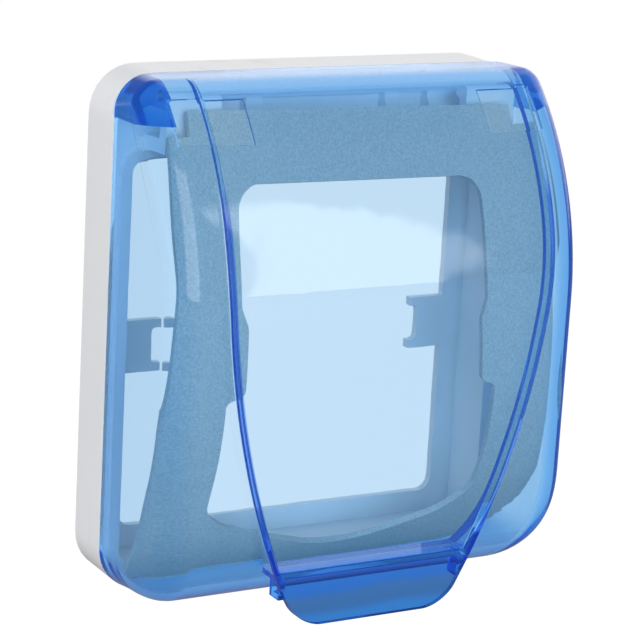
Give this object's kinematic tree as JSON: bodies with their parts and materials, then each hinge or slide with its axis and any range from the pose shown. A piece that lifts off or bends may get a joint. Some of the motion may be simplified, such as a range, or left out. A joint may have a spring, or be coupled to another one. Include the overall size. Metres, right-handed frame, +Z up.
{
  "type": "waterproof wall socket box",
  "caption": "Wall box cover: white frame with screw ears, loose window gasket and a hinged clear blue hood with a pull tab.",
  "frame": {"origin": "middle of the wall box, halfway between the two screw notches, on the wall plane", "axes": "+Z up, the wall is the plane y = 0 and the front faces -Y; +X is to the right seen from the front"},
  "size_m": [0.099, 0.0447, 0.1126],
  "materials": {
    "white_plastic": "smooth moulded white",
    "blue_clear_plastic": "clear polished blue",
    "grey_rubber": "fine matt foam rubber"
  },
  "bodies": {
    "base": {"base_frame": "white_plastic", "gasket": "grey_rubber"},
    "cover": {"lid": "blue_clear_plastic"}
  },
  "joints": [
    {"name": "lid_hinge", "type": "hinge", "parent": "base", "child": "cover", "pos_m": [0, -0.0185, 0.0562], "axis": [-1, 0, 0], "range_deg": [0, 105]}
  ]
}
